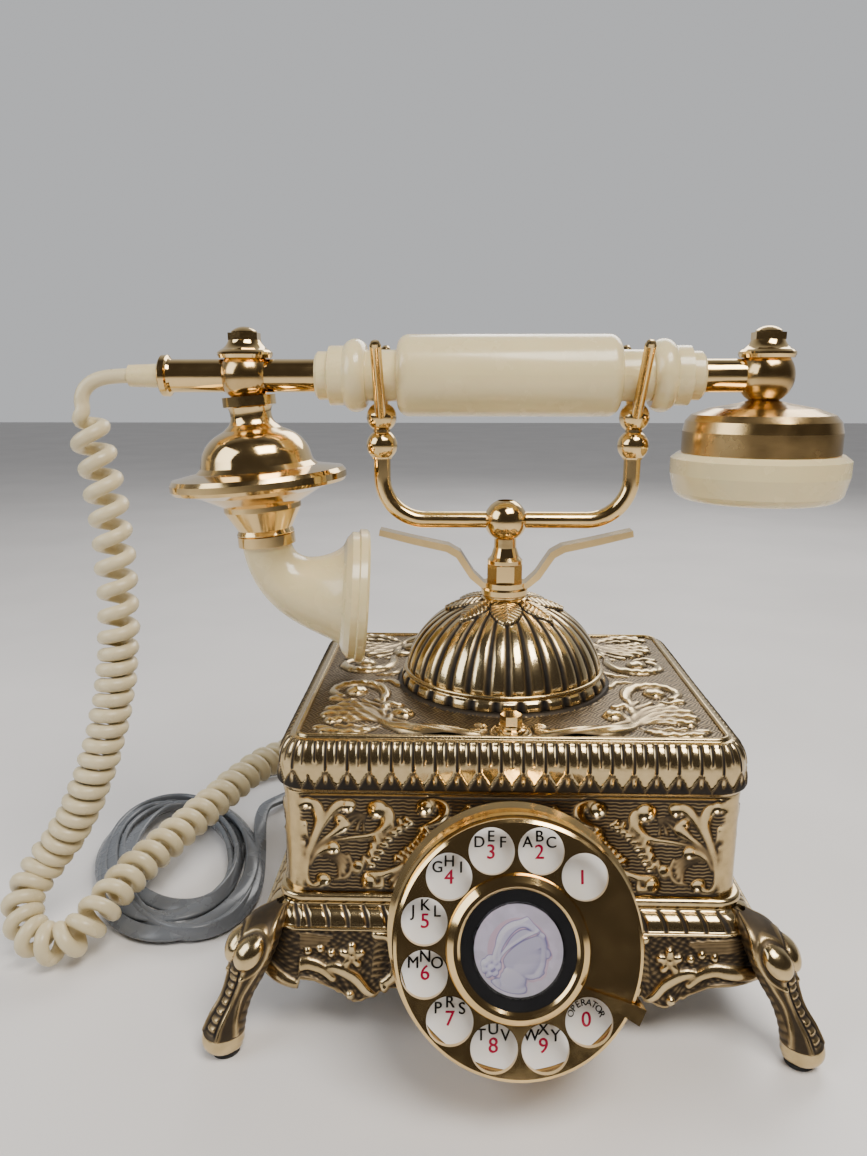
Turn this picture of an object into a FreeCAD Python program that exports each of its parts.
"""Ornate table telephone with a rotary dial, a cradle on a domed post and a long handset.

Frame: +Z up, the dial faces -Y, the handset lies along X. The origin is on the table, under the
middle of the telephone's own box (without its cords). Everything but the cords is drawn about the
post axis, which stands post_back behind the origin, and is moved there by each piece's Placement.
"""
import FreeCAD, Part
import math
import os
import Sketcher
from FreeCAD import Placement, Rotation, Vector

doc = FreeCAD.newDocument("RotaryTelephone")
sheet = doc.addObject("Spreadsheet::Sheet", "Sizes")

DRIVING_SIZES = {
    "post_back": 16.0,            # post axis behind the origin
    "lid_half_x": 82.0, "lid_half_y": 70.0, "plan_corner": 12.0, "wall": 3.0,
    "skirt_bottom": 20.0, "frame_top": 50.0, "shell_top": 88.0, "lid_top": 107.5,
    "foot_out": 16.5, "pad_radius": 4.8, "pad_thick": 1.5,
    "dome_radius": 39.7, "dome_top": 140.0,
    "collar_radius": 9.4, "tube_radius": 4.5, "shaft_radius": 3.0, "running_gap": 0.05,
    "rod_radius": 3.3, "rod_height": 173.0, "rod_bend": 17.0, "fork_x": 49.0,
    "ball_radius": 8.55, "prong_radius": 2.15, "prong_angle": 37.0, "prong_length": 40.2,
    "handset_height": 229.0, "handset_tube": 6.3, "grip_radius": 15.5, "grip_half": 42.6,
    "neck_radius": 9.75, "mouth_x": -101.5, "ear_x": 98.0, "mouth_ball": 10.2, "ear_ball": 10.75,
    "stalk_tilt": 4.8, "horn_turn": 8.0, "bell_radius": 34.7,
    "ear_shell_radius": 29.5, "ear_cap_radius": 33.4,
    "dial_front": 110.2, "dial_height": 58.8, "dial_tilt": 21.5,
    "wheel_radius": 37.9, "hole_circle": 29.4, "finger_radius": 7.1, "housing_radius": 34.0,
    "gear_module": 0.45, "governor_module": 0.35,
}


class Size(float):
    """A length or angle that also remembers its spreadsheet formula."""

    def __new__(cls, number, formula):
        size = super().__new__(cls, number)
        size.formula = formula
        return size

    def __add__(self, other):
        return Size(float(self) + float(other), f"({text(self)} + {text(other)})")

    def __sub__(self, other):
        return Size(float(self) - float(other), f"({text(self)} - {text(other)})")

    def __rsub__(self, other):
        return Size(float(other) - float(self), f"({text(other)} - {text(self)})")

    def __mul__(self, other):
        return Size(float(self) * float(other), f"({text(self)} * {text(other)})")

    def __neg__(self):
        return Size(-float(self), f"(0 - {text(self)})")

    __radd__ = __add__
    __rmul__ = __mul__


def text(number):
    """The spreadsheet formula of a size, or the plain number."""
    return number.formula if isinstance(number, Size) else f"{float(number):.6f}"


def fill_sheet():
    sizes = {}
    for row, (alias, number) in enumerate(DRIVING_SIZES.items(), start=1):
        sheet.set(f"A{row}", alias)
        sheet.set(f"B{row}", str(number))
        sheet.setAlias(f"B{row}", alias)
        sizes[alias] = Size(number, f"Sizes.{alias}")
    doc.recompute()
    return sizes


S = fill_sheet()
POST = Placement(Vector(0, S["post_back"], 0), Rotation())
PIECES = {}


# ---------------------------------------------------------------- drawing helpers

def bind(obj, **sizes):
    """Give an object its sizes, tied to the sheet where they come from it."""
    for name, size in sizes.items():
        setattr(obj, name, float(size))
        if isinstance(size, Size):
            obj.setExpression(name, size.formula)
    return obj


def at(x=0.0, y=0.0, z=0.0, axis=(0, 0, 1), angle=0.0):
    return Placement(Vector(x, y, z), Rotation(Vector(*axis), float(angle)))


def moved(obj, placement):
    obj.Placement = placement.multiply(obj.Placement)
    return obj


def keep(label, obj, about_post=True):
    """Name a finished piece and stand it about the post axis."""
    if about_post:
        moved(obj, POST)
    obj.Label = label
    PIECES[label] = obj
    return obj


def arc_through(start, end, radius):
    """Arc from start to end; its centre lies to the left for a positive radius."""
    chord = end - start
    left = Vector(-chord.y, chord.x, 0).normalize()
    side = math.copysign(1.0, radius)
    reach = math.sqrt(max(radius * radius - chord.Length ** 2 / 4, 0.0))
    centre = (start + end) * 0.5 + left * (side * reach)
    middle = centre - left * (side * abs(radius))
    return Part.Arc(start, middle, end) if side > 0 else Part.Arc(end, middle, start)


def draw(sketch, outline):
    """Closed outline of (x, y) corners; a third number is the radius of the arc arriving there."""
    corners = [Vector(float(point[0]), float(point[1]), 0) for point in outline]
    first_end, second_end = [], []
    for index, point in enumerate(outline):
        start, end = corners[index - 1], corners[index]
        if len(point) == 3:
            sketch.addGeometry(arc_through(start, end, float(point[2])), False)
            swap = point[2] < 0
        else:
            sketch.addGeometry(Part.LineSegment(start, end), False)
            swap = False
        first_end.append(2 if swap else 1)
        second_end.append(1 if swap else 2)
    for index, point in enumerate(outline):
        following = (index + 1) % len(outline)
        joint = ("Coincident", index, second_end[index], following, first_end[following])
        sketch.addConstraint(Sketcher.Constraint(*joint))
        for kind, size in (("DistanceX", point[0]), ("DistanceY", point[1])):
            place = Sketcher.Constraint(kind, -1, 1, index, second_end[index], float(size))
            number = sketch.addConstraint(place)
            if isinstance(size, Size):
                sketch.setExpression(f"Constraints[{number}]", size.formula)
        if len(point) == 3:
            sketch.addConstraint(Sketcher.Constraint("Radius", index, abs(float(point[2]))))


def body_sketch(name, outline, plane):
    body = doc.addObject("PartDesign::Body", name)
    sketch = body.newObject("Sketcher::SketchObject", name + "_outline")
    base = [side for side in body.Origin.OriginFeatures if side.Role == plane][0]
    sketch.AttachmentSupport = (base, [""])
    sketch.MapMode = "FlatFace"
    draw(sketch, outline)
    return body, sketch


def turned(name, outline, angle=360.0):
    """Solid of revolution about Z from an outline of (radius, height)."""
    body, sketch = body_sketch(name, outline, "XZ_Plane")
    turn = body.newObject("PartDesign::Revolution", name + "_turn")
    turn.Profile = (sketch, [""])
    turn.ReferenceAxis = (sketch, ["V_Axis"])
    turn.Angle = angle
    return body


def plate(name, outline, thickness, plane="XY_Plane"):
    """Flat plate padded from its outline, from the plane upwards."""
    body, sketch = body_sketch(name, outline, plane)
    pad = body.newObject("PartDesign::Pad", name + "_pad")
    pad.Profile = (sketch, [""])
    bind(pad, Length=thickness)
    return body


def box(name, corner, size):
    block = doc.addObject("Part::Box", name)
    bind(block, Length=size[0], Width=size[1], Height=size[2])
    return moved(block, at(*corner))


def cylinder(name, radius, height, base=(0, 0, 0), axis=(0, 0, 1)):
    rod = doc.addObject("Part::Cylinder", name)
    bind(rod, Radius=radius, Height=height)
    rod.Placement = Placement(Vector(*base), Rotation(Vector(0, 0, 1), Vector(*axis)))
    return rod


def sphere(name, radius, centre):
    ball = doc.addObject("Part::Sphere", name)
    bind(ball, Radius=radius)
    return moved(ball, at(*centre))


def fused(name, shapes):
    joined = doc.addObject("Part::MultiFuse", name)
    joined.Shapes = shapes
    return joined


def cut(name, base, *tools):
    """The base less its tools."""
    result = doc.addObject("Part::Cut", name)
    result.Base = base
    result.Tool = tools[0] if len(tools) == 1 else fused(name + "_tools", list(tools))
    return result


def group(name, solids):
    together = doc.addObject("Part::Compound", name)
    together.Links = solids
    return together


def rounded(half_x, half_y, corner):
    """Rounded rectangle, anticlockwise."""
    return [
        (half_x, corner - half_y, corner), (half_x, half_y - corner),
        (half_x - corner, half_y, corner), (corner - half_x, half_y),
        (-half_x, half_y - corner, corner), (-half_x, corner - half_y),
        (corner - half_x, -half_y, corner), (half_x - corner, -half_y),
    ]


def stack(name, rows):
    """Box with rounded corners whose sides follow rows of (outset, height)."""
    sections = []
    for number, (outset, height) in enumerate(rows):
        ring = doc.addObject("Sketcher::SketchObject", f"{name}_ring{number}")
        draw(ring, rounded(S["lid_half_x"] + outset, S["lid_half_y"] + outset, S["plan_corner"] + outset))
        ring.Placement = at(z=height)
        sections.append(ring)
    solid = doc.addObject("Part::Loft", name)
    solid.Sections = sections
    solid.Solid = True
    solid.Ruled = True
    return solid


def horn_loft(name, rings):
    """Smooth solid through circles of (centre, radius, rotation)."""
    sections = []
    for number, (centre, radius, rotation) in enumerate(rings):
        ring = doc.addObject("Part::Circle", f"{name}_ring{number}")
        bind(ring, Radius=radius)
        ring.Placement = Placement(Vector(*centre), rotation)
        sections.append(ring)
    solid = doc.addObject("Part::Loft", name)
    solid.Sections = sections
    solid.Solid = True
    return solid


def feature(name, shape):
    obj = doc.addObject("Part::Feature", name)
    obj.Shape = shape
    return obj


def polygon(radius, sides, start=0.0):
    step = 2 * math.pi / sides
    return [(radius * math.cos(start + step * k), radius * math.sin(start + step * k)) for k in range(sides)]


def four_corners(x, y):
    return [(side * x, end * y) for side in (-1, 1) for end in (-1, 1)]


# ---------------------------------------------------------------- cords

def route_path(points):
    """Straight runs joined by tangent arcs; returns the edges and the arcs' radii."""
    corners = [Vector(*point) for point in points]
    edges, radii, start = [], [], corners[0]
    for before, corner, after in zip(corners, corners[1:], corners[2:]):
        inward = (before - corner).normalize()
        outward = (after - corner).normalize()
        turn = math.pi - inward.getAngle(outward)
        reach = 0.45 * min((before - corner).Length, (after - corner).Length)
        radius = reach / math.tan(turn / 2)
        first, last = corner + inward * reach, corner + outward * reach
        bisector = (inward + outward).normalize()
        middle = corner + bisector * (radius / math.cos(turn / 2) - radius)
        edges += [Part.LineSegment(start, first).toShape(), Part.Arc(first, middle, last).toShape()]
        radii.append(radius)
        start = last
    edges.append(Part.LineSegment(start, corners[-1]).toShape())
    return edges, radii


def bent_tube(name, points, radius):
    """Round tube along a route."""
    edges, radii = route_path(points)
    path = Part.Wire(edges)
    heading = Vector(*points[1]) - Vector(*points[0])
    section = Part.Wire([Part.Circle(Vector(*points[0]), heading, float(radius)).toShape()])
    shape = path.makePipeShell([section], True, True)
    full = math.pi * float(radius) ** 2 * path.Length
    smallest = min(radii, default=0.0)
    print(f"{name}: length {path.Length:.0f} mm, smallest bend {smallest:.1f} mm, "
          f"volume / (section x length) {shape.Volume / full:.3f}")
    return feature(name, shape)


# ---------------------------------------------------------------- the case

DIAL = Placement(
    Vector(0, -S["dial_front"], S["dial_height"]), Rotation(Vector(1, 0, 0), 90.0 - float(S["dial_tilt"])))


BORE_DEPTH = 58.0               # how far the hole for the dial runs behind the finger wheel
SCREW_SPOTS = (74.0, 62.0)      # bottom screws, from the post axis
SKIRT_ROWS = [                  # outset from the lid's sides and height, up the outside of the base frame
    (10.0, S["skirt_bottom"]), (8.6, 28.0), (6.5, 36.0), (5.6, 40.5), (4.5, 42.0), (1.5, 45.0),
    (0.3, 46.4), (0.3, 49.4)]


def dial_bore(name, radius):
    """Cylinder along the dial axis, through the front of the case."""
    bore = cylinder(name, radius, BORE_DEPTH, base=(0, 0, -BORE_DEPTH))
    return moved(bore, DIAL)


SCREW_CORNERS = list(enumerate(four_corners(*SCREW_SPOTS)))


def make_case():
    outer = SKIRT_ROWS + [(-0.6, S["frame_top"])]
    inner = [(6.5, S["skirt_bottom"]), (2.4, 40.0), (-3.0, 45.0), (-6.0, S["frame_top"])]
    bosses = [cylinder(f"boss{k}", 5.4, 23.0, (x, y, 24.0)) for k, (x, y) in SCREW_CORNERS]
    screw_holes = [
        cylinder(f"boss_hole{k}", 1.5, 12.0, (x, y, 24.0)) for k, (x, y) in SCREW_CORNERS]
    ring = fused("frame_ring", [cut("frame_wall", stack("frame_outer", outer),
        stack("frame_inner", inner))] + bosses)
    cord_hole = cylinder("cord_hole", 4.0, 20.0, (-58.0, 66.0, 30.0), (0, 1, 0))
    jack_hole = cylinder("jack_hole", 6.0, 20.0, (-30.0, 66.0, 30.0), (0, 1, 0))
    keep("base_frame", cut("BaseFrame", ring, dial_bore("frame_bore", S["housing_radius"] + 0.3),
                           cord_hole, jack_hole, *screw_holes))

    shell_out = [(-2.0, S["frame_top"]), (-2.0, S["shell_top"])]
    shell_in = [(-5.0, S["frame_top"]), (-5.0, S["shell_top"])]
    keep("body_shell", cut("BodyShell", stack("shell_outer", shell_out), stack("shell_inner", shell_in),
                           dial_bore("shell_bore", S["housing_radius"] + 0.3)))

    lid_out = [
        (-1.5, S["shell_top"]), (0.0, 90.5), (0.0, 96.7), (-1.9, 101.0), (-5.0, 104.4), (-9.0, S["lid_top"])]
    lid_in = [(-6.0, S["shell_top"]), (-6.0, 101.0), (-8.5, 104.0)]
    bolt_holes = [cylinder(f"lid_hole{k}", 2.0, 10.0, (0, y, 100.0)) for k, y in enumerate((-57.5, 57.5))]
    keep("lid", cut("Lid", stack("lid_outer", lid_out), stack("lid_inner", lid_in),
                    cylinder("lid_post_hole", S["tube_radius"], 10.0, (0, 0, 100.0)), *bolt_holes))

    bottom = [(5.4, 22.0), (5.4, 24.0)]
    holes = [cylinder(f"plate_hole{k}", 1.8, 6.0, (x, y, 20.0)) for k, (x, y) in SCREW_CORNERS]
    blank = cut("bottom_disc", stack("bottom_blank", bottom),
        dial_bore("plate_bore", S["housing_radius"] + 0.6), *holes)
    pillars = [
        moved(turned(f"lid_pillar{k}", [(0, 23), (3.7, 23), (3.7, 104), (2.0, 104), (2.0, 94), (0, 94)]),
            at(0, y))
        for k, y in enumerate((-57.5, 57.5))]
    keep("bottom_plate", fused("BottomPlate", [blank] + pillars))
    screws = []
    for k, (x, y) in SCREW_CORNERS:
        screw = turned(f"bottom_screw{k}", [(0, 20.2), (3.4, 20.2), (3.6, 22.0), (1.5, 22.0), (1.5, 35.0),
            (0, 35.0)])
        screws.append(moved(screw, at(x, y)))
    keep("bottom_screws", group("BottomScrews", screws))


def make_legs():
    """Four bowed legs: narrow at the ankle, with a bulbous foot on a felt pad."""
    rows = [(48.0, 2.0, 6.0), (41.0, 4.0, 7.6), (34.0, 6.2, 8.0), (26.0, 9.2, 7.0), (19.5, 12.2, 5.6),
            (14.0, 15.2, 6.4), (8.0, 16.3, 6.7), (3.6, 16.5, 6.1), (1.5, 16.5, 5.0)]
    legs, pads = [], []
    for k, (side, end) in enumerate(four_corners(1, 1)):
        rings = [
            ((side * (S["lid_half_x"] + out), end * (S["lid_half_y"] + out), height), radius, Rotation())
            for height, out, radius in rows]
        legs.append(horn_loft(f"leg{k}", rings))
        foot = (side * (S["lid_half_x"] + S["foot_out"]), end * (S["lid_half_y"] + S["foot_out"]), 0)
        pads.append(cylinder(f"pad{k}", S["pad_radius"], S["pad_thick"], foot))
    keep("legs", cut("Legs", group("legs_whole", legs), stack("legs_trim", SKIRT_ROWS)))
    keep("foot_pads", group("FootPads", pads))


def make_dome():
    top = S["dome_top"]
    keep("dome", turned("Dome", [
        (S["tube_radius"], top - 2), (9.3, top - 2), (37.7, 110, -32.0), (37.7, S["lid_top"]),
        (S["dome_radius"], S["lid_top"]), (S["dome_radius"], 110), (9.5, top, 34.0),
        (S["tube_radius"], top)]))
    keep("dome_ring", turned("DomeRing", [
        (S["dome_radius"], S["lid_top"]), (42.2, S["lid_top"]), (42.2, 108.5), (40.8, 111.0),
        (S["dome_radius"], 111.0)]))
    bore = S["shaft_radius"] + S["running_gap"]
    tube = S["tube_radius"]
    keep("post_collar", turned("PostCollar", [
        (bore, 98), (tube, 98), (tube, top), (S["collar_radius"], top), (S["collar_radius"], 141.6),
        (8.7, 142.1), (8.7, 142.7), (S["collar_radius"], 143.2), (S["collar_radius"], 145.2), (8.6, 146),
        (tube, 146), (tube, 155), (bore, 155)]))
    nuts = []
    for name, low, height, across in (("wing_nut", 148.0, 7.0, 7.0), ("lock_nut", 99.0, 5.0, 7.5)):
        nut = cut(name, plate(name + "_blank", polygon(across, 6), height),
                  cylinder(name + "_bore", tube, height))
        nuts.append(moved(nut, at(z=low)))
    keep("post_nuts", group("PostNuts", nuts))
    bolts = []
    for k, y in enumerate((-57.5, 57.5)):
        shank = turned(f"bolt_shank{k}", [
            (0, 94), (2.0, 94), (2.0, S["lid_top"]), (5.4, S["lid_top"]), (5.4, 108.6), (4.2, 108.9),
            (4.2, 109.7), (0, 109.7)])
        head = moved(plate(f"bolt_head{k}", polygon(3.9, 6), 3.6), at(z=109.7))
        bolts.append(moved(fused(f"bolt{k}", [shank, head]), at(0, y)))
    keep("lid_bolts", group("LidBolts", bolts))


def make_wings():
    """Spring wings under the cradle: one bent strip with a hole for the post."""
    right = [(0, 146), (9.5, 146), (14, 149.8), (19.6, 158.3), (23.6, 160.6), (36.3, 163.4), (50.4, 167.0),
             (50.0, 169.4), (35.4, 166), (22.6, 163.3), (17.9, 160.6), (12.3, 152.0), (8.2, 148), (0, 148)]
    left = [(-x, z) for x, z in reversed(right)]
    strip = plate("wing_strip", right + left[1:-1], 8.0, "XZ_Plane")
    moved(strip, at(y=4.0))
    disc = cylinder("wing_disc", 8.6, 2.0, (0, 0, 146))
    hole = cylinder("wing_hole", S["tube_radius"], 30.0, (0, 0, 130))
    keep("wing_plate", cut("WingPlate", fused("wing_blank", [strip, disc]), hole))


# ---------------------------------------------------------------- the cradle

def make_cradle():
    shaft = S["shaft_radius"]
    rod_bore = cylinder("stem_rod_bore", S["rod_radius"], 40.0, (-20, 0, S["rod_height"]), (1, 0, 0))
    stem = turned("ball_stem_blank", [
        (0, 76), (5.6, 76), (5.6, 78), (shaft, 78), (shaft, 155.5), (7.0, 155.5), (7.0, 157.0), (5.7, 158.4),
        (4.5, 162.0), (4.4, 165.57), (3.2, 180.83, S["ball_radius"]), (3.2, 176.5), (0, 176.5)])
    keep("ball_stem", cut("BallStem", stem, rod_bore))
    keep("rod_set_screw", turned("RodSetScrew", [(0, 176.5), (3.2, 176.5), (3.2, 178.6), (1.6, 178.6),
        (0, 177.2)]))
    low, high, x, bend = S["rod_height"], 200.0, S["fork_x"], 17.0
    corner = float(low) + bend
    short = bend * (1 - math.sqrt(0.5))
    line = Part.makeLine
    side = [
        line(Vector(-x, 0, high), Vector(-x, 0, corner)),
        Part.Arc(Vector(-x, 0, corner), Vector(-x + short, 0, low + short),
                 Vector(-x + bend, 0, low)).toShape(),
        line(Vector(-x + bend, 0, low), Vector(x - bend, 0, low)),
        Part.Arc(Vector(x - bend, 0, low), Vector(x - short, 0, low + short),
                 Vector(x, 0, corner)).toShape(),
        line(Vector(x, 0, corner), Vector(x, 0, high)),
    ]
    ring = Part.Circle(Vector(-x, 0, high), Vector(0, 0, -1), float(S["rod_radius"]))
    section = Part.Wire([ring.toShape()])
    keep("cradle_rod", feature("CradleRod", Part.Wire(side).makePipeShell([section], True, True)))
    keep("forks", group("Forks", [make_fork("fork_left", -S["fork_x"]),
        make_fork("fork_right", S["fork_x"])]))


def make_fork(label, x):
    """End ball on the rod, socket above it and two prongs that open into a V."""
    post = turned(label + "_post", [
        (0, 197.2), (3.8, 197.2), (3.9, 197.86), (3.3, 207.51, 6.0), (3.3, 208.6), (3.3, 218.2, 5.8),
        (0, 218.2)])
    thick, long = S["prong_radius"], S["prong_length"]
    prongs = []
    for end in (-1, 1):
        lean = Rotation(Vector(1, 0, 0), -end * float(S["prong_angle"]))
        prong = turned(f"{label}_prong{end}", [
            (0, 0), (thick, 0), (thick, long - 1.6), (thick - 0.55, long - 0.4), (0, long)])
        prong.Placement = Placement(Vector(0, 0, 208.6), lean)
        prongs.append(prong)
    whole = moved(fused(label + "_whole", [post] + prongs), at(x=float(x)))
    rod_seat = cylinder(label + "_seat", S["rod_radius"], 10.0, (float(x), 0, 190.0))
    return cut(label, whole, rod_seat)


# ---------------------------------------------------------------- the dial

def on_dial(label, obj, height=0.0):
    """Stand a piece drawn about Z on the dial axis; height is along the axis, out of the dial."""
    moved(obj, DIAL.multiply(at(z=float(height))))
    return keep(label, obj)


def finger_angles():
    """Angles of the holes for 1 to 0, anticlockwise from +X as seen from the front."""
    return [math.radians(45.7 + 30.0 * digit) for digit in range(10)]


def make_dial():
    radius, hub = S["wheel_radius"], 3.0
    blank = turned("wheel_blank", [(hub, -1), (radius - 0.6, -1), (radius, -0.2), (radius, 0.6),
        (radius - 1, 1.2),
                                   (22, 1.2), (21.5, 1.0), (hub, 1.0)])
    circle = float(S["hole_circle"])
    holes = [
        cylinder(f"finger_hole{k}", S["finger_radius"], 6.0, (circle * math.cos(a), circle * math.sin(a), -3))
        for k, a in enumerate(finger_angles())]
    on_dial("finger_wheel", cut("FingerWheel", blank, *holes))
    on_dial("hub_ring", turned("HubRing", [
        (17.6, 1.0), (21.5, 1.0), (21.5, 2.4), (19.6, 3.9), (18.4, 3.9), (17.6, 3.2)]))
    on_dial("card_retainer", turned("CardRetainer", [
        (0, 1.0), (17.6, 1.0), (17.6, 3.0), (13.9, 3.0), (13.9, 2.0), (0, 2.0)]))
    on_dial("cameo", turned("Cameo", [(0, 2.0), (13.3, 2.0), (13.3, 2.6), (0.6, 3.4, 108.0), (0, 3.4)]))
    on_dial("cameo_lens", turned("CameoLens", [
        (13.3, 2.0), (13.9, 2.0), (13.9, 3.4), (0.6, 5.2, 54.0), (0, 5.2), (0, 4.4),
        (0.6, 4.4), (13.3, 2.7, -52.0)]))
    on_dial("number_plate", turned("NumberPlate", [(8.0, -6.2), (36.6, -6.2), (36.6, -5.0), (8.0, -5.0)]))
    make_dial_housing()
    make_finger_stop()
    make_dial_works()


def make_dial_housing():
    radius = S["housing_radius"]
    cup = turned("housing_cup", [
        (radius - 2, -60), (radius, -60), (radius, -22.5), (41.3, -22.5), (41.3, -20.0), (39.4, -18.0),
        (39.4, -5.6), (38.7, -4.6), (37.6, -4.6), (36.9, -5.6), (36.9, -20.0), (radius - 2, -20.0)])
    moved(cup, DIAL)
    behind = box("housing_trim", (-60, -66.0, -40), (120, 120, 200))
    keep("dial_housing", cut("DialHousing", cup, behind))


def make_finger_stop():
    """Hooked blade from the rim that ends over the wheel, beside the last hole."""
    tip, outer = 22.6, 39.4
    start, end = math.radians(-30.4), math.radians(-23.4)
    def spot(reach, angle):
        return (reach * math.cos(angle), reach * math.sin(angle))
    blade = plate("stop_blade", [
        spot(tip, math.radians(-28.0)), spot(38.3, start), spot(41.2, start), spot(41.2, end),
        spot(38.3, end)], 1.2)
    moved(blade, at(z=1.8))
    foot = plate("stop_foot", [spot(outer, start), spot(41.2, start), spot(41.2, end), spot(outer, end)],
        18.0)
    moved(foot, at(z=-15.6))
    on_dial("finger_stop", cut("FingerStop", fused("stop_blank", [blade, foot]),
        cylinder("stop_trim", outer, 14.0, (0, 0, -16.5))))


def toothed(name, teeth, module, thickness, bore):
    """Spur gear with straight-sided teeth and easy backlash."""
    pitch = teeth * module / 2
    root, tip = pitch - 1.2 * module, pitch + 0.85 * module
    step = 2 * math.pi / teeth
    corners = []
    for tooth in range(teeth):
        for reach, share in ((root, -0.30), (tip, -0.12), (tip, 0.12), (root, 0.30)):
            angle = (tooth + share) * step
            corners.append(Vector(reach * math.cos(angle), reach * math.sin(angle), 0))
    face = Part.Face(Part.makePolygon(corners + corners[:1]))
    solid = face.extrude(Vector(0, 0, thickness))
    return feature(name, solid.cut(Part.makeCylinder(bore, thickness)))


def half_tooth(teeth):
    return 180.0 / teeth


def make_dial_works():
    """Number-plate carrier, gear train, pulse cam, governor and contacts, all inside the housing."""
    main_teeth, pinion_teeth, second_teeth, fly_teeth = 72, 12, 60, 10
    module, fine = float(S["gear_module"]), float(S["governor_module"])
    far = module * (main_teeth + pinion_teeth) / 2
    near = fine * (second_teeth + fly_teeth) / 2
    frame = turned("dial_frame_blank", [(3.05, -9.5), (31.8, -9.5), (31.8, -8.0), (8.0, -8.0), (8.0, -6.2),
        (5.0, -6.2),
                                        (5.0, -8.0), (3.05, -8.0)])
    back = turned("dial_back_disc", [(3.05, -32), (31.8, -32), (31.8, -30.5), (3.05, -30.5)])
    posts = [
        cylinder(f"dial_post{k}", 1.6, 22.0, (x, y, -31.0))
        for k, (x, y) in enumerate(((-26, -14), (26, -14), (-24, 17)))]
    bearings = [
        cylinder(f"works_bearing{k}", 1.05, 30.0, (x, far, -36)) for k, x in enumerate((0, near))]
    on_dial("dial_frame", cut("DialFrame", fused("dial_frame_riveted", [frame, back] + posts), *bearings))

    gear = toothed("main_gear_teeth", main_teeth, module, 1.6, 2.0)
    gear.Placement = at(z=-13.6)
    shaft = turned("dial_spindle", [(0, -32), (3.0, -32), (3.0, 1.0), (0, 1.0)])
    on_dial("dial_shaft", fused("DialShaft", [shaft, gear]))
    spring = turned("DialSpring", [(4.2, -24), (12, -24), (12, -19), (4.2, -19)])
    on_dial("dial_spring", spring)

    pinion = toothed("pinion_teeth", pinion_teeth, module, 2.0, 1.0)
    pinion.Placement = at(z=-13.8, angle=90.0 + half_tooth(pinion_teeth))
    second = toothed("second_teeth", second_teeth, fine, 1.2, 1.0)
    second.Placement = at(z=-18.0)
    cam = plate("pulse_cam", [(4.6, -1.2), (4.6, 1.2), (2.6, 2.8), (-4.6, 1.2), (-4.6, -1.2),
        (-2.6, -2.8)], 1.6)
    moved(cam, at(z=-22.0))
    axle = cylinder("pinion_axle", 1.0, 21.9, (0, 0, -31.4))
    pulse = fused("PulsePinion", [axle, pinion, second, cut("pulse_cam_ring", cam,
        cylinder("cam_bore", 1.0, 3, (0, 0, -22.5)))])
    moved(pulse, at(y=far))
    on_dial("pulse_pinion", pulse)

    fly = toothed("fly_teeth", fly_teeth, fine, 1.6, 0.8)
    fly.Placement = at(z=-18.2, angle=180.0 + half_tooth(fly_teeth))
    drum = turned("governor_drum", [(0.8, -29), (6.4, -29), (6.4, -24), (0.8, -24)])
    spindle = turned("governor_spindle", [(0, -31.4), (1.0, -31.4), (1.0, -30.0), (0.8, -30.0),
        (0.8, -10.0), (1.0, -10.0),
                                          (1.0, -9.5), (0, -9.5)])
    governor = moved(fused("Governor", [spindle, fly, drum]), at(near, far))
    on_dial("governor", governor)
    leaves = [box(f"pulse_leaf{k}", (-16.0, far + 4.9 + 1.2 * k, -23.0), (20.0, 0.4, 3.6)) for k in range(2)]
    block = cut("contact_block", box("contact_bar", (-18.0, far + 3.5, -29.0), (5.0, 3.6, 12.0)), *[
        box(f"leaf_slot{k}", (-16.0, far + 4.9 + 1.2 * k, -23.0), (20.0, 0.4, 3.6)) for k in range(2)])
    on_dial("pulse_contacts", group("PulseContacts", [block] + leaves))


# ---------------------------------------------------------------- the handset

LENGTHWISE = Rotation(Vector(0, 1, 0), 90.0)


def along_handset(obj, x=0.0):
    """Lay a piece drawn about Z along the handset's axis."""
    return moved(obj, Placement(Vector(float(x), 0, S["handset_height"]), LENGTHWISE))


def grip_outline():
    """Half of the grip, mirrored: the long cylinder, the neck, a round ring and two stepped rings."""
    bore = S["handset_tube"]
    right = [
        (S["grip_radius"], 38.0), (11.5, S["grip_half"], 4.6), (S["neck_radius"], S["grip_half"]),
        (S["neck_radius"], 54.5), (11.5, 54.5), (11.5, 62.9, 4.9), (11.3, 63.2), (11.3, 68.6), (9.2, 69.3),
        (9.2, 73.0), (8.2, 74.0), (bore, 74.0)]
    left = [
        (bore, -74.0), (8.2, -74.0), (9.2, -73.0), (9.2, -69.3), (11.3, -68.6), (11.3, -63.2), (11.5, -62.9),
        (11.5, -54.5, 4.9), (S["neck_radius"], -54.5), (S["neck_radius"], -S["grip_half"]),
        (11.5, -S["grip_half"]), (S["grip_radius"], -38.0, 4.6)]
    return left + right


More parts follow.
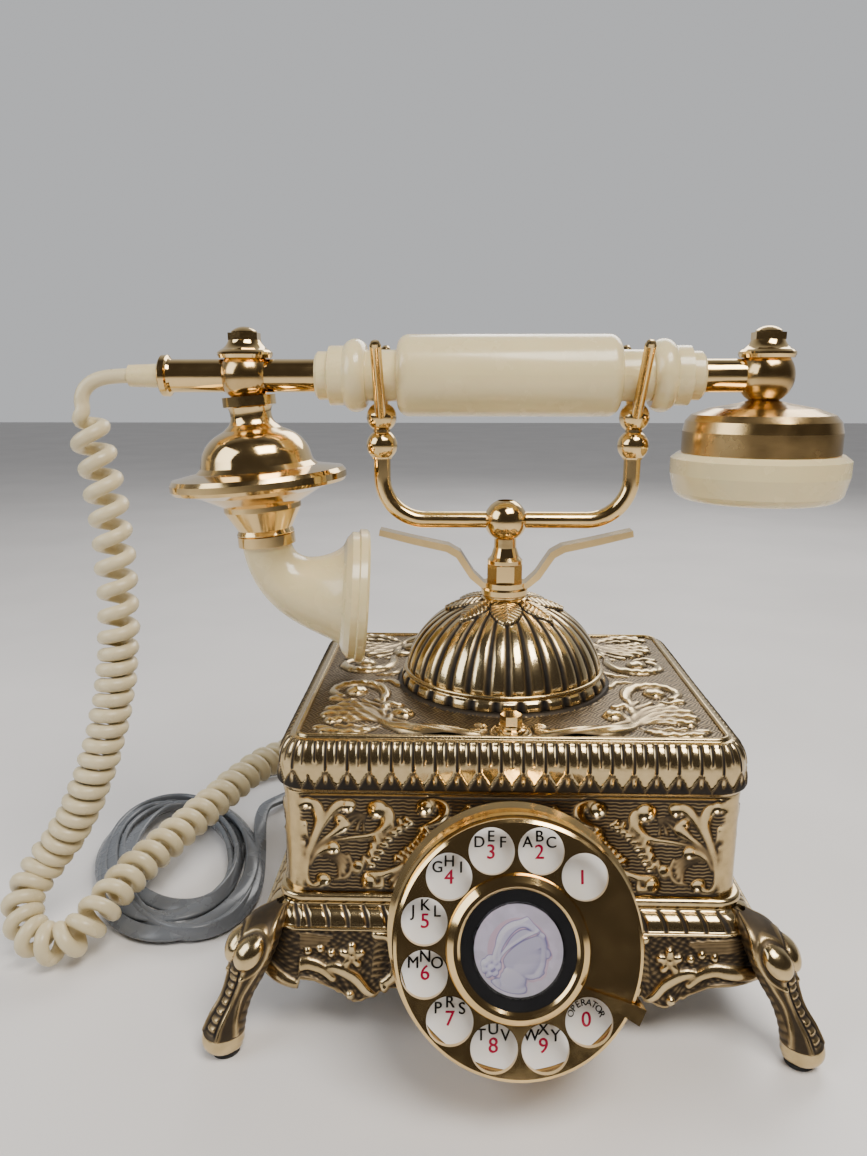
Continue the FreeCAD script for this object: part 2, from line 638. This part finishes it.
def make_handset():
    for label, spin in (("grip_upper", 90.0), ("grip_lower", -90.0)):
        half = turned(label + "_half", grip_outline(), 180.0)
        moved(half, at(angle=spin))
        keep(label, along_handset(half))
    tube = turned("HandsetTube", [
        (4.7, -134.4), (7.2, -134.4), (7.9, -133.8), (7.9, -131.6), (6.9, -131.0),
        (S["handset_tube"], -130.0),
        (S["handset_tube"], 95.0), (4.7, 95.0)])
    keep("handset_tube", along_handset(tube))
    balls = []
    for label, x, radius in (("ball_left", S["mouth_x"], S["mouth_ball"]),
        ("ball_right", S["ear_x"], S["ear_ball"])):
        height = S["handset_height"]
        ball = sphere(label + "_blank", radius, (float(x), 0, height))
        reach = 40.0 if label == "ball_left" else 17.0
        bore = cylinder(label + "_bore", S["handset_tube"], reach, (float(x) - 20.0, 0, height), (1, 0, 0))
        balls.append(cut(label, ball, bore))
    keep("joint_balls", group("JointBalls", balls))
    finials = [make_finial("finial_left", S["mouth_x"], S["mouth_ball"]),
        make_finial("finial_right", S["ear_x"], S["ear_ball"])]
    keep("finials", group("Finials", finials))
    make_mouthpiece()
    make_receiver()


def make_finial(name, x, ball):
    """Cap nut over a ball joint: flange, hollowed cone, hexagon and domed top."""
    cone = turned(name + "_cone", [
        (0, 6.6), (10.0, 6.6), (10.6, 7.9), (10.6, 8.8), (9.6, 9.6), (6.2, 13.3, -6.0), (0, 13.3)])
    lower = cut(name + "_seated", cone, sphere(name + "_seat", ball, (0, 0, 0)))
    hexagon = moved(plate(name + "_hex", polygon(6.5, 6, math.pi / 6), 2.7), at(z=13.3))
    cap = turned(name + "_cap", [(0, 15.6), (4.9, 15.6), (4.9, 16.6), (0.6, 18.4, 7.0), (0, 18.4)])
    return moved(fused(name, [lower, hexagon, cap]), at(float(x), 0, S["handset_height"]))


STALK = Placement(
    Vector(float(S["mouth_x"]), 0, S["handset_height"]), Rotation(Vector(0, 1, 0), -float(S["stalk_tilt"])))


def on_stalk(label, obj):
    """Hang a piece drawn about Z, with its origin at the ball's centre, on the tilted stalk."""
    return keep(label, moved(obj, STALK))


def make_mouthpiece():
    bell = turned("bell_blank", [
        (3, -7.7), (3, -23), (12, -24), (19.5, -33, -14.0), (20.6, -38.5), (30.8, -40.5), (30.8, -42.9),
        (33.8, -42.9),
        (S["bell_radius"], -41.6), (S["bell_radius"], -39.2), (33.6, -37.6), (24, -35.8), (22.2, -34),
        (21.6, -31.5),
        (14.5, -22, 13.5), (11.5, -20.5), (9.2, -18.5), (8.0, -15.0, -6.0), (8.6, -11.9, -6.0),
        (10.35, -11.4),
        (10.35, -7.7)])
    on_stalk("transmitter_bell", cut("TransmitterBell", bell, sphere("stalk_seat", S["mouth_ball"],
        (0, 0, 0))))
    on_stalk("transmitter_case", turned("TransmitterCase", [
        (30.8, -40.6), (28.6, -40.6), (28.4, -42.0), (20, -45.0), (12.6, -49.8), (12.6, -52), (8.2, -60),
        (6.5, -62),
        (6.5, -66.4), (11.45, -66.4), (11.45, -62.4), (10.9, -62.2), (11.5, -61.6, 1.0), (10.75, -60),
        (15.35, -52),
        (15.35, -50), (24, -45.3), (30.8, -43.2)]))
    on_stalk("transmitter_capsule", turned("TransmitterCapsule", [
        (0, -44.2), (17, -44.2), (19, -43.0), (19, -39.8), (0, -39.8)]))
    make_horn()


def make_horn():
    """Hollow curved horn below the transmitter, with a stepped rim round its mouth."""
    rings = [
        ((0.0, -66.4), 9.9, 0), ((1.2, -73.0), 10.1, 14), ((5.6, -80.6), 11.6, 40), ((13.4, -86.6), 14.2, 64),
        ((22.0, -89.6), 17.4, 76), ((27.4, -90.6), 20.6, 81)]
    turn = Rotation(Vector(0, 0, 1), float(S["horn_turn"]))
    def sections(thinner):
        placed = []
        for (x, z), radius, lean in rings:
            rotation = turn.multiply(Rotation(Vector(0, 1, 0), 180.0 - lean))
            placed.append((tuple(turn.multVec(Vector(x, 0, z))), radius - thinner, rotation))
        return placed
    shell = cut("Horn", horn_loft("horn_outer", sections(0.0)), horn_loft("horn_inner", sections(2.2)))
    rim = turned("HornRim", [
        (18.4, 0), (20.6, 0), (23.5, 1.2), (26.2, 3.4), (26.2, 6.0), (27.5, 6.6), (27.5, 9.2),
        (26.6, 10.2), (24.0, 10.2),
        (22.5, 7.0), (18.4, 2.0)])
    (x, z), _, lean = rings[-1]
    rim.Placement = Placement(turn.multVec(Vector(x, 0, z)), turn.multiply(Rotation(Vector(0, 1, 0),
        180.0 - lean)))
    on_stalk("horn", fused("HornWithRim", [shell, rim]))


def make_receiver():
    x, z = float(S["ear_x"]), float(S["handset_height"])
    def over(obj):
        return moved(obj, at(x=x))
    shell = turned("receiver_shell_blank", [
        (3, 216.6), (24, 213.0), (27.3, 209.5), (27.3, 199.6), (S["ear_shell_radius"], 199.6),
        (S["ear_shell_radius"], 208),
        (28.6, 212), (26.5, 214.4), (20, 216.8), (9, 218.8), (5.6, 219.8), (3, 219.8)])
    keep("receiver_shell", cut("ReceiverShell", over(shell), sphere("receiver_seat", S["ear_ball"],
        (x, 0, z))))
    cap = S["ear_cap_radius"]
    keep("ear_ring", over(turned("EarRing", [
        (25, 192.8), (cap, 192.8), (cap, 197.6), (cap - 2.6, 199.6), (25, 199.6)])))
    blank = turned("ear_cap_blank", [
        (0, 185.6), (14, 184.6), (22, 182.2), (24, 181.5), (26.5, 181.5), (31.6, 184.6, 6.5), (cap, 191.8),
        (cap, 192.8), (0, 192.8)])
    holes = [cylinder(f"ear_hole{k}", 1.4, 14.0, (9 * math.cos(k * math.pi / 3),
        9 * math.sin(k * math.pi / 3), 180)) for k in range(6)]
    keep("ear_cap", over(cut("EarCap", blank, *holes)))
    keep("receiver_capsule", over(turned("ReceiverCapsule", [
        (0, 192.9), (24.0, 192.9), (24.0, 197), (20, 203), (0, 203)])))


# ---------------------------------------------------------------- inside the case

def make_ringer():
    """Two gongs with a clapper between them, on a frame at the back of the case."""
    gongs, studs = [], []
    for side, x in (("left", -30.0), ("right", 30.0)):
        gongs.append(moved(turned(f"{side}_gong", [
            (0, 64), (5, 64), (20, 61, -60.0), (22.6, 48), (24.0, 48), (21.6, 62.6), (5.6, 66, 50.0),
            (0, 66)]), at(x, 34)))
        studs.append(cylinder(f"{side}_gong_stud", 3.0, 18.0, (x, 34, 46)))
    keep("gongs", group("Gongs", gongs))
    keep("ringer_frame", fused("RingerFrame", studs + [
        box("ringer_bar", (-45, 22, 44), (90, 26, 2)), box("ringer_leg_a", (-45, 24, 24), (4, 22, 20)),
        box("ringer_leg_b", (41, 24, 24), (4, 22, 20))]))
    coils = [cylinder(f"ringer_coil{k}", 7.0, 17.0, (x, 8.0, 27.0)) for k, x in enumerate((-9.0, 9.0))]
    yoke = box("ringer_yoke", (-18, 0, 24), (36, 16, 3))
    pin = cylinder("clapper_pin", 1.0, 26.0, (0, 7, 26))
    keep("ringer_coils", fused("RingerCoils", [yoke, pin] + coils))
    arm = fused("Clapper", [
        box("armature", (-12, 3, 48), (24, 8, 2)), box("clapper_arm", (-1, 10, 48), (2, 26, 1.6)),
        sphere("clapper_ball", 3.0, (0, 36, 50))])
    pin_hole = cylinder("clapper_hole", 1.05, 10, (0, 7, 45))
    keep("clapper", cut("ClapperArm", arm, pin_hole))


def make_switch():
    """Contact springs that the cradle's plunger presses when the handset is down."""
    keep("switch_frame", cut("SwitchFrame", fused("switch_blank", [
        box("switch_base", (-14, -14, 24), (28, 13, 2.0)), box("switch_tower", (-14, -14, 24), (4, 13, 34)),
        box("switch_top", (-14, -9, 56), (28, 18, 3.0))]), cylinder("switch_hole", 3.4, 8, (0, 0, 53))))
    stack_block = box("leaf_block", (8, -14, 26), (6, 14, 26))
    keep("switch_contacts", fused("SwitchContacts", [stack_block] + [
        box(f"leaf{k}", (-8, -12, 34 + 5 * k), (18, 8, 0.6)) for k in range(3)]))
    keep("switch_spring", turned("SwitchSpring", [(3.6, 59), (5.4, 59), (5.4, 76), (3.6, 76)]))
    keep("network_block", fused("NetworkBlock", [box("network_can", (-68, -46, 24), (44, 36, 22))] + [
        cylinder(f"terminal{k}", 2.2, 5.0, (-60 + 7 * k, -20, 46)) for k in range(5)]))


# ---------------------------------------------------------------- cords

CURLY_OUTER = 8.2          # radius of the coiled stretch
CURLY_WIRE = 2.6           # radius of the plain wire
FLAT_CORD = 3.25           # half the width of the flat line cord
CURLY_LEAD = [(-147.0, 16.0, 229.0), (-155.5, 16.0, 229.0), (-163.4, 15.6, 226.4), (-167.1, 14.9, 220.6),
              (-165.4, 14.6, 213.0)]
CURLY_ROUTE = [
    (-165.4, 14.6, 213.0), (-161.6, 14.0, 196.0), (-158.2, 13.0, 175.0), (-156.6, 11.4, 152.0),
    (-156.4, 9.0, 129.0),
    (-158.0, 5.6, 107.0), (-162.6, 1.0, 84.0), (-169.8, -3.6, 62.5), (-179.2, -5.0, 44.8),
    (-190.8, -7.0, 30.4),
    (-195.2, -19.4, 21.0), (-185.9, -29.4, 11.2), (-171.0, -29.4, 10.2), (-161.8, -16.4, 19.4),
    (-156.8, 3.4, 23.0),
    (-147.8, 23.4, 26.0), (-139.2, 43.4, 28.8), (-130.6, 65.0, 31.6), (-121.4, 84.0, 34.6),
    (-108.0, 104.0, 34.0),
    (-90.0, 118.0, 31.4)]
CURLY_TAIL = [(-90.0, 118.0, 31.4), (-81.4, 124.7, 30.2), (-71.0, 127.0, 30.0), (-62.0, 122.4, 30.0),
    (-58.0, 112.0, 30.0),
              (-58.0, 100.4, 30.0)]
LINE_LEAD = [(-30.0, 100.4, 30.0), (-30.0, 110.5, 30.0), (-33.0, 121.5, 24.5), (-41.0, 131.5, 14.5),
    (-54.0, 137.5, 6.4),
             (-71.0, 137.5, 3.6), (-90.0, 129.5, 3.6), (-106.0, 117.5, 3.6), (-116.0, 106.5, 4.4),
             (-123.5, 93.5, 5.4)]
PLUG_LEAD = [(-149.0, 113.5, 5.4), (-141.5, 130.0, 3.6), (-127.0, 143.0, 3.6), (-106.0, 152.0, 3.6),
    (-87.0, 153.5, 3.6),
             (-70.0, 153.5, 3.6)]


def make_cords():
    bushes = [
        turned_bush("curly_bush", -58.0, CURLY_WIRE, 4.0, 6.4), turned_bush("line_bush", -30.0, FLAT_CORD,
            6.0, 8.0)]
    keep("cord_glands", group("CordGlands", bushes))
    keep("strain_relief", along_handset(turned("StrainRelief", [
        (0, -147.0), (4.2, -147.0), (4.65, -134.6), (4.65, -131.2), (0, -131.2)])))
    keep("curly_lead", bent_tube("CurlyLead", CURLY_LEAD, CURLY_WIRE), about_post=False)
    keep("curly_cord", bent_tube("CurlyCord", CURLY_ROUTE, CURLY_OUTER), about_post=False)
    keep("curly_tail", bent_tube("CurlyTail", CURLY_TAIL, CURLY_WIRE), about_post=False)
    ends = [bent_tube("line_lead", LINE_LEAD, FLAT_CORD), bent_tube("plug_lead", PLUG_LEAD, FLAT_CORD)]
    keep("line_leads", group("LineLeads", ends), about_post=False)
    make_hank()
    plug = box("plug_body", (-70.0, 147.7, 0.3), (13.0, 11.6, 6.6))
    latch = box("plug_latch", (-68.0, 151.5, 6.9), (11.0, 4.0, 1.2))
    keep("line_plug", fused("LinePlug", [plug, latch]), about_post=False)


def turned_bush(name, x, bore, waist, flange):
    """Bush in a hole of the frame's rear wall, at height 30; its axis points backwards."""
    inner_face = 74.0
    bush = turned(name, [(bore, 0), (waist, 0), (waist, 6.0), (flange, 6.0), (flange - 0.6, 8.8),
        (bore, 10.4)])
    bush.Placement = Placement(Vector(x, inner_face, 30.0), Rotation(Vector(0, 0, 1), Vector(0, 1, 0)))
    return bush


def make_hank():
    """Outer shape of the loosely looped line cord: a flat oval ring lying on the table."""
    def oval(name, long_half, short_half, height):
        ring = Part.Ellipse(Vector(0, 0, 0), long_half, short_half).toShape()
        return Part.Face(Part.Wire([ring])).extrude(Vector(0, 0, height))
    solid = oval("outer", 70.0, 41.0, 11.0).cut(oval("inner", 44.0, 18.0, 11.0))
    hank = feature("Hank", solid)
    hank.Placement = Placement(Vector(-151.5, 45.5, 0.4), Rotation(Vector(0, 0, 1), 111.5))
    keep("line_cord", hank, about_post=False)


# ---------------------------------------------------------------- build and write

def check_and_write():
    doc.recompute()
    faults = [obj.Name for obj in doc.Objects if {"Invalid", "Error"} & set(obj.State)]
    for label, obj in PIECES.items():
        if obj.Shape.isNull() or not obj.Shape.isValid() or not obj.Shape.Solids:
            faults.append(label)
    if faults:
        raise RuntimeError(f"failed pieces: {faults}")
    os.makedirs("parts", exist_ok=True)
    for label, obj in PIECES.items():
        obj.Shape.exportStep(f"parts/{label}.step")
    print(f"{len(PIECES)} pieces written")


make_case()
make_legs()
make_dome()
make_wings()
make_cradle()
make_dial()
make_handset()
make_ringer()
make_switch()
make_cords()
check_and_write()
